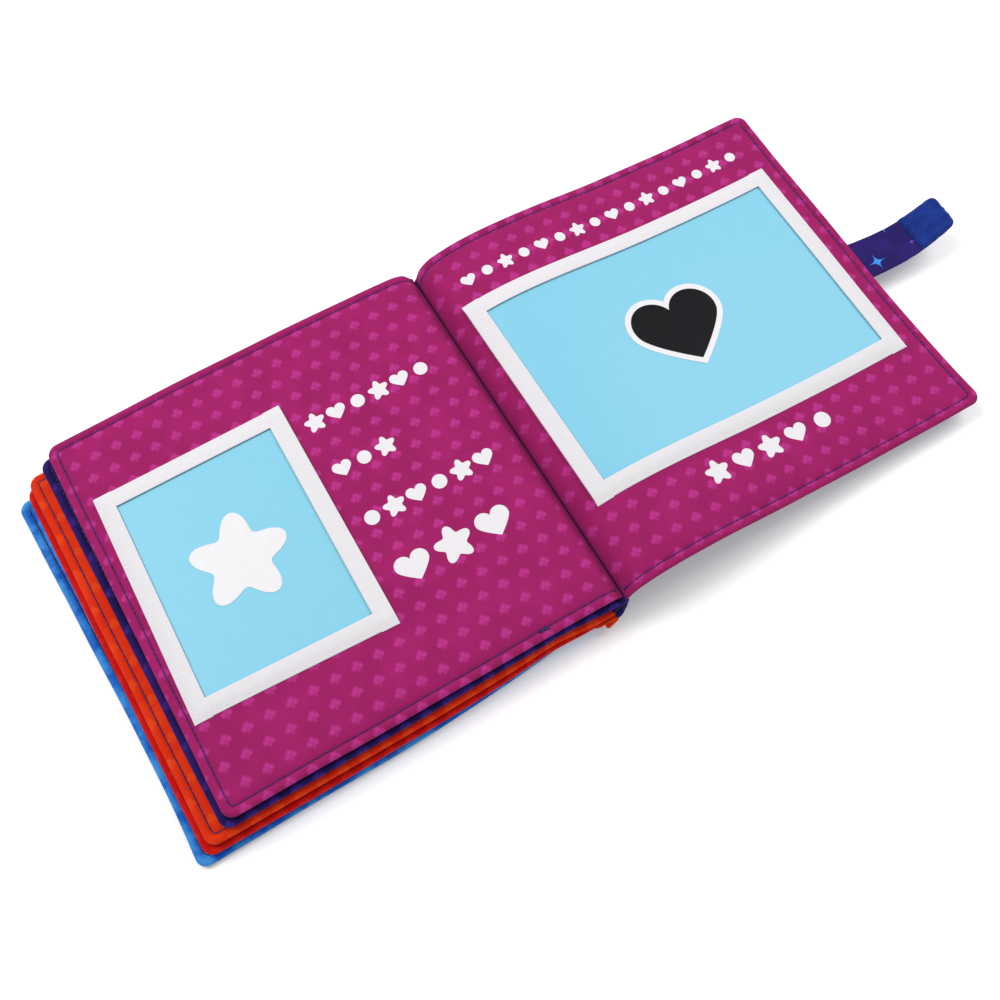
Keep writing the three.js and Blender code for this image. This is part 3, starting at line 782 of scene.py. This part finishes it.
def make_stitches(name, pairs, panel, height, body, material, up=1, width=STITCH_WIDTH):
    """Short sewn stitches from point to point of the square panel, each sunk a little into the cloth."""
    bm = bmesh.new()
    for i, (first, last) in enumerate(pairs):
        a = Vector((*panel.carry(*first), height(*first)))
        b = Vector((*panel.carry(*last), height(*last)))
        along = (b - a).normalized()
        side = Vector((0, 0, 1)).cross(along).normalized()
        lean = STITCH_LEAN * math.sin(i * 2.4)
        turn = Matrix((along + lean * side, side - lean * along, along.cross(side))).transposed().to_4x4()
        size = Matrix.Diagonal(Vector(((b - a).length / 2, width / 2, STITCH_HEIGHT / 2, 1)))
        middle = (a + b) / 2
        spot = lying(middle.x, middle.y, middle.z + up * STITCH_RISE)
        place = Matrix.Translation(spot) @ Matrix.Scale(MM, 4)
        bmesh.ops.create_uvsphere(bm, u_segments=6, v_segments=4, radius=1.0, matrix=place @ turn @ size)
    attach(finish_mesh(bm, name, material, crisp=False), body)


PANELS = {}
SPREADS = [
    ("blue_print", BLUE),
    ("red_print", RED),
    ("orange_print", ORANGE),
    ("navy_print", NAVY),
    ("magenta_print", MAGENTA),
]


def make_panel(name, level, seed, top_part, bottom_part, top_cloth, bottom_cloth):
    top_node, bottom_node = f"{name}_{top_part}", f"{name}_{bottom_part}"
    panel = Panel(top_node, bottom_node, level, seed)
    PANELS[name] = panel
    motif_at = RIGHT_MOTIF if level is None else LEFT_MOTIF
    make_half_pad(panel, True, name, top_node, [f"{name}_batting"], top_cloth, motif_at)
    make_half_pad(panel, False, name, bottom_node, [], bottom_cloth, motif_at)
    pairs = seam_path(panel, STITCH_INSET, STITCH_LENGTH + STITCH_GAP)
    make_stitches(f"{name}_top_stitches", pairs, panel, panel.top, name, THREAD)
    make_stitches(f"{name}_bottom_stitches", pairs, panel, panel.bottom, name, THREAD, up=-1)


OUTER = ("outer_cloth", OUTSIDE)
make_panel("front_cover", 0, 1.0, "lining", "cloth", SPREADS[0], OUTER)
for level in range(1, TOP_LEVEL + 1):
    cloths = SPREADS[level], SPREADS[level - 1]
    make_panel(f"leaf_{level}", level, 1.0 + 20 * level, "left_page", "right_page", *cloths)
make_panel("back_cover", None, 120.0, "lining", "cloth", SPREADS[TOP_LEVEL], OUTER)
LEAF, COVER = PANELS["leaf_4"], PANELS["back_cover"]
make_stitches(
    "thread_knot", KNOT, LEAF, lambda x, y: LEAF.top(x, y) + KNOT_RISE, "leaf_4", THREAD, width=KNOT_WIDTH
)


# Photo pockets


class Pocket:
    """A place on a page given by four corners, with a running from left to right and b from near to far."""

    def __init__(self, corners, panel):
        self.corners = [Vector(c) for c in corners]
        self.panel = panel
        near_left, near_right, far_right, far_left = self.corners
        self.across = ((near_right - near_left).length + (far_right - far_left).length) / 2
        self.along = ((far_left - near_left).length + (far_right - near_right).length) / 2

    def at(self, a, b):
        near_left, near_right, far_right, far_left = self.corners
        s, t = a / self.across, b / self.along
        near, far = near_left * (1 - s) + near_right * s, far_left * (1 - s) + far_right * s
        place = near * (1 - t) + far * t
        return place.x, place.y


def lay(name, node, body, pocket, rect, heights, material, slot_name, step, rim=()):
    """A thin piece over the page. heights gives its two heights over the page at a, b in rect."""
    a0, a1, b0, b1 = rect
    panel = pocket.panel

    def stops(low, high):
        if not rim:
            return spaced(low, high, step)
        inner = spaced(low + rim[-1] + 0.8, high - rim[-1] - 0.8, step)
        return [low + s for s in rim] + inner + [high - s for s in reversed(rim)]

    def shape(a, b):
        x, y = pocket.at(a, b)
        base = panel.calm_top(*panel.flatten(x, y))
        low, high = heights(a, b)
        return x, y, base + low, base + high

    return stand_for(slab(name, stops(a0, a1), stops(b0, b1), shape, material), body, slot_name, node)


def tape_heights(rect, outer_side, drape, seed):
    """Heights of a strip: its outer edge lies on the cloth, its inner edge on the window. The strips at
    the left and right drape at their ends too, and the others dive under them there."""
    a0, a1, b0, b1 = rect
    upright = outer_side in ("left", "right")

    def draped(inset):
        return 1 - smoothstep(inset / TAPE_WIDTH / TAPE_BEND)

    def heights(a, b):
        across = {"left": a - a0, "right": a1 - a, "front": b - b0, "back": b1 - b}[outer_side]
        sides, ends = min(a - a0, a1 - a), min(b - b0, b1 - b)
        down = draped(across) * drape
        rim = ends
        fall = 0
        if upright:
            down = max(down, draped(ends))
            rim = min(sides, ends)
        else:
            fall = TAPE_LAP_FALL * (1 - smoothstep(sides / TAPE_LAP))
        fall += TAPE_EDGE_FALL * (1 - smoothstep(rim / TAPE_EDGE_RUN))
        low = TAPE_LOW - (TAPE_LOW - TAPE_DRAPE) * down
        wave = TAPE_WAVE * noise.noise(Vector((a / TAPE_WAVE_LENGTH, b / TAPE_WAVE_LENGTH, seed)))
        return low, low + TAPE_THICK + wave - fall

    return heights


def make_tape_stitches(name, pocket, rect, side, body):
    """White stitches along the edge of a tape that is sewn to the page."""
    a0, a1, b0, b1 = rect
    panel = pocket.panel
    heights = tape_heights(rect, side, 1.0, 0)
    upright = side in ("left", "right")
    line = {"left": a0, "right": a1, "front": b0, "back": b1}[side]
    line += TAPE_STITCH_INSET if side in ("left", "front") else -TAPE_STITCH_INSET
    low, high = (b0, b1) if upright else (a0, a1)
    over = {}
    pairs = []
    for stop in spaced(low + TAPE_STITCH_ENDS[0], high - TAPE_STITCH_ENDS[1], TAPE_STITCH_STEP):
        ends = [(line, s) if upright else (s, line) for s in (stop, stop + TAPE_STITCH_LENGTH)]
        pair = [panel.flatten(*pocket.at(*end)) for end in ends]
        for end, place in zip(ends, pair):
            over[place] = heights(*end)[1] - TAPE_STITCH_SINK
        pairs.append(pair)

    def height(x, y):
        return panel.calm_top(x, y) + over[(x, y)]

    make_stitches(name, pairs, panel, height, body, TAPE, width=TAPE_STITCH_WIDTH)


def make_pocket(side, corners, panel, body, card_body, card_size, mouth):
    pocket = Pocket(corners, panel)
    w, across, along = TAPE_WIDTH, pocket.across, pocket.along
    strips = {
        "left": (0, w, -TAPE_OVERRUN, along + TAPE_OVERRUN),
        "right": (across - w, across, -TAPE_OVERRUN, along + TAPE_OVERRUN),
        "front": (w - TAPE_LAP, across - w + TAPE_LAP, 0, w),
        "back": (w - TAPE_LAP, across - w + TAPE_LAP, along - w, along),
    }
    for seed, (part, rect) in enumerate(strips.items()):
        heights = tape_heights(rect, part, 0.0 if part == mouth else 1.0, seed + panel.seed)
        node = f"{side}_pocket_{part}_tape"
        lay(f"{node}_twill", node, body, pocket, rect, heights, TAPE, "tape", 1.6, TAPE_RIM)
        if part != mouth:
            make_tape_stitches(f"{node}_stitches", pocket, rect, part, body)
    low_a = -WINDOW_LIP if mouth == "left" else WINDOW_SEWN
    high_a = across + WINDOW_LIP if mouth == "right" else across - WINDOW_SEWN
    film_rect = (low_a, high_a, WINDOW_INSET, along - WINDOW_INSET)
    film = lay(f"{side}_window_film", f"{side}_pocket_window", body, pocket, film_rect,
               lambda a, b: (WINDOW_LOW, WINDOW_HIGH), WINDOW, "window", 3.0)
    a, b = (across - card_size[0]) / 2, (along - card_size[1]) / 2
    lay(f"{side}_card_print", f"{side}_pocket_card", card_body, pocket, (a, across - a, b, along - b),
        lambda a, b: (CARD_LOW, CARD_HIGH), CARD, "card", 3.0)


make_pocket("left", LEFT_POCKET, LEAF, "leaf_4", "left_card", LEFT_CARD, "right")
make_pocket("right", RIGHT_POCKET, COVER, "back_cover", "back_cover", RIGHT_CARD, "left")


# Stickers and printed shapes


def heart_side(share):
    """The right half of a heart's outline, one unit to each side: a round lobe from the notch, then a
    full side that bends down to the tip."""
    lobe, across, rise, tip, lean, turn = 0.519, 0.481, 0.267, -0.842, math.radians(18), 0.55
    if share < turn:
        notch = math.acos(-across / lobe)
        angle = notch - (notch + lean) * share / turn
        return Vector((across + lobe * math.cos(angle), rise + lobe * math.sin(angle)))
    down = (share - turn) / (1 - turn)
    start = Vector((across + lobe * math.cos(lean), rise - lobe * math.sin(lean)))
    bend, end = Vector((0.881, -0.181)), Vector((0, tip))
    return start * (1 - down) ** 2 + bend * 2 * down * (1 - down) + end * down**2


def heart_reach(t, border=0.0):
    """A point of a heart's outline. t runs round it from the notch, and border widens it evenly."""
    share = abs(t) / math.pi
    point = heart_side(share)
    if border and share > 0.995:
        point.y -= border / math.sin(math.radians(53))
    elif border:
        run = (heart_side(share + 0.004) - heart_side(max(share - 0.004, 0))).normalized()
        point += Vector((-run.y, run.x)) * border
    return (1 if t >= 0 else -1) * max(point.x, 0), point.y


def star_reach(t):
    r = 0.8 + 0.2 * math.cos(5 * t)
    return r * math.sin(t), r * math.cos(t)


def round_reach(t):
    return math.sin(t), math.cos(t)


OUTLINES = {
    "heart": heart_reach,
    "heart_border": lambda t: heart_reach(t, HEART_BORDER / HEART_RADIUS),
    "star": star_reach,
    "round": round_reach,
}


def make_shape(name, kind, centre, radius, turn, panel, base, heights, crown, material, rings=6, segments=64):
    """A thin shape over the page: a disc whose rim is drawn to the outline, thicker in its middle."""
    bm = bmesh.new()
    bmesh.ops.create_circle(bm, cap_ends=True, cap_tris=True, segments=segments, radius=1.0)
    spokes = [e for e in bm.edges if not e.is_boundary]
    bmesh.ops.subdivide_edges(bm, edges=spokes, cuts=rings - 1, use_grid_fill=True)
    lifted = bmesh.ops.extrude_face_region(bm, geom=bm.faces[:], use_keep_orig=True)
    upper = {g for g in lifted["geom"] if isinstance(g, bmesh.types.BMVert)}
    low, high = heights
    for vert in bm.verts:
        share = min(math.hypot(vert.co.x, vert.co.y), 1.0)
        reach = Vector(OUTLINES[kind](math.atan2(vert.co.x, vert.co.y))) * radius * share
        x, y = Vector(centre) + Matrix.Rotation(turn, 2) @ reach
        over = high + crown * (1 - share**3) if vert in upper else low
        vert.co = lying(x, y, base(*panel.flatten(x, y)) + over)
    return finish_mesh(bm, name, material)


def make_sticker(name, node, kind, place, panel, heights, crown, material, body, slot_name):
    """A sticker on a card. place gives its middle, its radius and its turn."""
    piece = make_shape(name, kind, *place, panel, panel.calm_top, heights, crown, material, segments=120)
    stand_for(piece, body, slot_name, node)


star_place = (STAR_PLACE, STAR_RADIUS, STAR_TURN)
heart_place = (HEART_PLACE, HEART_RADIUS, HEART_TURN)
sticker_heights = (STICKER_LOW, STICKER_HIGH)
make_sticker("card_star", "left_pocket_star", "star", star_place, LEAF, sticker_heights, STAR_CROWN,
             STICKER, "left_card", "sticker")
make_sticker("card_heart_border", "right_pocket_heart_border", "heart_border", heart_place, COVER,
             sticker_heights, 0, STICKER, "back_cover", "sticker")
make_sticker("card_heart", "right_pocket_heart", "heart", heart_place, COVER, (PRINT_LOW, PRINT_HIGH), 0,
             INK, "back_cover", "dark_print")


def print_row(name, body, kinds, first, last, size):
    """A row of white shapes printed on the page, from first to last."""
    panel = PANELS[body]
    for i, kind in enumerate(kinds):
        share = i / (len(kinds) - 1)
        centre = first[0] + (last[0] - first[0]) * share, first[1] + (last[1] - first[1]) * share
        piece = make_shape(f"{name}_{i + 1}", kind, centre, size * PRINT_RADII[kind], 0.0, panel, panel.top,
                           (PRINT_SUNK, PRINT_PROUD), 0, PRINT, rings=5, segments=48)
        stand_for(piece, body, "sticker")


for name, row in PRINT_ROWS.items():
    print_row(name, *row)


# Spine, strap and grip patches


def band(name, line, thickness, y0, y1, material, step=2.5, wrinkle=0.0, seed=0.0, carry=None):
    """A band of cloth along a smooth line of points in x and z. carry moves each place in the plane."""
    at_x = smooth_curve([(i, p[0]) for i, p in enumerate(line)])
    at_z = smooth_curve([(i, p[1]) for i, p in enumerate(line)])
    count = len(line) - 1
    length = sum(math.dist(a, b) for a, b in zip(line, line[1:]))
    bm, station = new_grid(spaced(0, count, 0.12), spaced(y0, y1, step))
    for vert in bm.verts:
        u, v = vert[station][:2]
        dx, dz = at_x(u + 0.05) - at_x(u - 0.05), at_z(u + 0.05) - at_z(u - 0.05)
        size = math.hypot(dx, dz) or 1
        push = wrinkle * noise.noise(Vector((u * 1.3, v / 14, seed)))
        x, y, z = at_x(u), v, at_z(u)
        if carry:
            x, y, z = carry(x, y)
        vert.co = lying(x - dz / size * push, y, z + dx / size * push)
    lay_out(bm, station, lambda u, v: (u / count * length, v - y0))
    piece = finish_mesh(bm, name, material)
    wall = piece.modifiers.new("wall", "SOLIDIFY")
    wall.thickness = thickness * MM
    wall.offset = 0
    round_off = piece.modifiers.new("round", "BEVEL")
    round_off.width = thickness * 0.35 * MM
    round_off.segments = 2
    round_off.limit_method = "ANGLE"
    (y1 - y0) * MM
    return piece


spine = band("spine_cloth", SPINE_LINE, SPINE_THICKNESS, *SPINE_ENDS, OUTSIDE, wrinkle=0.3, seed=3.0)
stand_for(spine, "front_cover", "outer_cloth", "spine_strip")


def make_fold(name, line, thickness, material):
    """A soft rolled end of cloth along a line of points, rounded at both of its own ends."""
    at = [smooth_curve([(i, p[axis]) for i, p in enumerate(line)]) for axis in range(3)]
    count = len(line) - 1
    bm = bmesh.new()
    bmesh.ops.create_uvsphere(bm, u_segments=14, v_segments=44, radius=1.0)
    for vert in bm.verts:
        u = (vert.co.z + 1) / 2 * count
        middle = Vector([curve(u) for curve in at])
        ahead, behind = (Vector([curve(u + reach) for curve in at]) for reach in (0.05, -0.05))
        along = (ahead - behind).normalized()
        side = along.cross(Vector((0, 1, 0))).normalized()
        over = side.cross(along)
        ring = Vector((vert.co.x, vert.co.y))
        if ring.length > 0.001:
            ring = ring.normalized() * math.sqrt(1 - abs(vert.co.z) ** 6)
        wave = 1 + 0.25 * noise.noise(middle / 2.5)
        vert.co = lying(*(middle + (side * ring.x + over * ring.y) * thickness * wave))
    piece = finish_mesh(bm, name, material, crisp=False)
    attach(piece, "front_cover")


make_fold("navy_fold", NAVY_FOLD, 1.3, OUTSIDE)
make_fold("orange_fold", ORANGE_FOLD, 1.0, ORANGE)


def lay_seam_and_shade_in_crease():
    """The seam at the bottom of the crease, where both open pages meet: a purple seam coloured near black
    with painted shade of the deep crease.
    """

    def shape(u, y):
        level = LEAF.level_at(LEAF.end, y)
        crown = CREASE_SEAM_CROWN * (1 - (u / CREASE_SEAM_HALF) ** 2)
        return CREASE_SEAM_X + u, y, level - CREASE_SEAM_DEPTH, level + crown

    steps = [share * CREASE_SEAM_HALF for share in (-1, -0.6, -0.2, 0.2, 0.6, 1)]
    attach(slab("crease_seam_and_shade", steps, spaced(*CREASE_SEAM_ENDS, 2.5), shape, SEAM_AND_SHADE), "front_cover")


lay_seam_and_shade_in_crease()


def strap_height(x):
    return STRAP_BASE + STRAP_RISE * max((x - STRAP_START) / STRAP_SPAN, 0) ** 2


strap_end = STRAP_START + STRAP_SPAN
strap_line = [(x, strap_height(x)) for x in spaced(STRAP_START - STRAP_SEWN_IN, strap_end, 5)]
strap_sides = STRAP_Y - STRAP_WIDTH / 2, STRAP_Y + STRAP_WIDTH / 2


def strap_place(x, y):
    """From the square strap to the curved one: bowed towards the front, narrower and rounded at its tip."""
    share = max((x - STRAP_START) / STRAP_SPAN, 0)
    rise = max(STRAP_CORNER - (STRAP_WIDTH / 2 - abs(y - STRAP_Y)), 0)
    inset = STRAP_CORNER - math.sqrt(max(STRAP_CORNER**2 - rise**2, 0))
    x -= inset * 0.6 * smoothstep(share * 2 - 1)
    y = STRAP_Y + (y - STRAP_Y) * (1 - STRAP_TAPER * share) - STRAP_BOW * math.sin(math.pi * share)
    return x, y, strap_height(x)


strap = band("strap_cloth", strap_line, STRAP_THICKNESS, *strap_sides, STRAP, step=1.2, wrinkle=0.25,
             seed=8.0, carry=strap_place)
stand_for(strap, "closure_strap", "outer_cloth", "strap")


def make_pile(name, node, body, x0, x1, y0, y1, carry, low, high):
    """A patch of looped pile with rounded edges."""

    def shape(x, y):
        rim = min(x - x0, x1 - x, y - y0, y1 - y)
        fuzz = 0.35 * ripple(x, y, 1.1, 7.0) + 0.25 * ripple(x, y, 3, 1.0)
        ragged = 0.35 * ripple(x, y, 2.2, 4.0) * (1 - smoothstep(rim / 1.2))
        round_off = 0.45 + 0.55 * smoothstep(rim / 1.1)
        px, py, base = carry(x + ragged, y + ragged)
        return px, py, base + low, base + low + (high - low) * round_off * (1 + 0.35 * fuzz)

    piece = slab(name, spaced(x0, x1, 0.45), spaced(y0, y1, 0.45), shape, PILE)
    stand_for(piece, body, "grip", node)


make_pile("strap_pile", "strap_grip", "closure_strap", strap_end - STRAP_GRIP_LENGTH, strap_end + 0.4,
          strap_sides[0] - 0.2, strap_sides[1] + 0.2, strap_place, *STRAP_GRIP_OVER)


def make_cover_patch():
    """The patch of hooks on the outside of the front cover, which the strap closes onto."""
    x0, x1, y0, y1 = COVER_GRIP
    panel = PANELS["front_cover"]
    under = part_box("front_cover_grip")[0].z / MM

    def shape(x, y):
        rim = min(x - x0, x1 - x, y - y0, y1 - y)
        skin = panel.bottom(*panel.flatten(x, y))
        return x, y, max(under, 0.0) + 0.25 * (1 - smoothstep(rim / 0.8)), skin + 0.25

    piece = slab("cover_pile", spaced(x0, x1, 1.1), spaced(y0, y1, 1.1), shape, PILE)
    stand_for(piece, "front_cover", "grip", "front_cover_grip")


make_cover_patch()


# Camera, floor and light


def make_camera():
    """The photograph's view: a target on the table, an azimuth, an elevation, a roll and a distance."""
    azimuth, elevation, roll = CAMERA_TURNS
    turn = Matrix.Rotation(azimuth, 4, "Z") @ Matrix.Rotation(math.pi / 2 - elevation, 4, "X")
    turn = turn @ Matrix.Rotation(roll, 4, "Z")
    back = turn.col[2].to_3d()
    data = bpy.data.cameras.new("camera")
    data.sensor_fit = "HORIZONTAL"
    data.sensor_width = SENSOR_WIDTH
    data.lens = SENSOR_WIDTH * FOCAL_LENGTH / FRAME_WIDTH
    data.clip_start, data.clip_end = 0.01, 20
    camera = bpy.data.objects.new("camera", data)
    camera.matrix_world = Matrix.Translation(lying(*CAMERA_TARGET) + back * CAMERA_DISTANCE * MM) @ turn
    bpy.context.scene.collection.objects.link(camera)
    bpy.context.scene.camera = camera


def make_floor():
    bm = bmesh.new()
    bmesh.ops.create_grid(bm, x_segments=2, y_segments=2, size=6.0)
    material, tree, shader = new_material("pale_floor", 0.9, specular=0.1)
    grain = add_noise(object_vector(tree), 30, 2.0)
    colour = add_mix(grain, (0.96, 0.96, 0.96, 1), (0.97, 0.97, 0.97, 1))
    feed(shader, {"Base Color": colour, "Emission Color": (1, 1, 1, 1), "Emission Strength": FLOOR_GLOW})
    floor = finish_mesh(bm, "floor", material)
    floor.location.z = -0.0002


def make_light(name, place, size, power):
    """A round light that shines at the middle of the album."""
    data = bpy.data.lights.new(name, "AREA")
    data.shape = "DISK"
    data.size = size
    data.energy = power
    light = bpy.data.objects.new(name, data)
    light.location = place
    light.rotation_euler = (-Vector(place)).to_track_quat("-Z", "Y").to_euler()
    bpy.context.scene.collection.objects.link(light)


make_camera()
make_floor()
make_light("key", *KEY_LIGHT)
make_light("fill", *FILL_LIGHT)
world = bpy.data.worlds.new("studio")
world.use_nodes = True
feed(world.node_tree.nodes["Background"].inputs, {"Color": (1, 1, 1, 1), "Strength": ROOM_LIGHT})
bpy.context.scene.world = world
bpy.context.scene.view_settings.view_transform = "Standard"
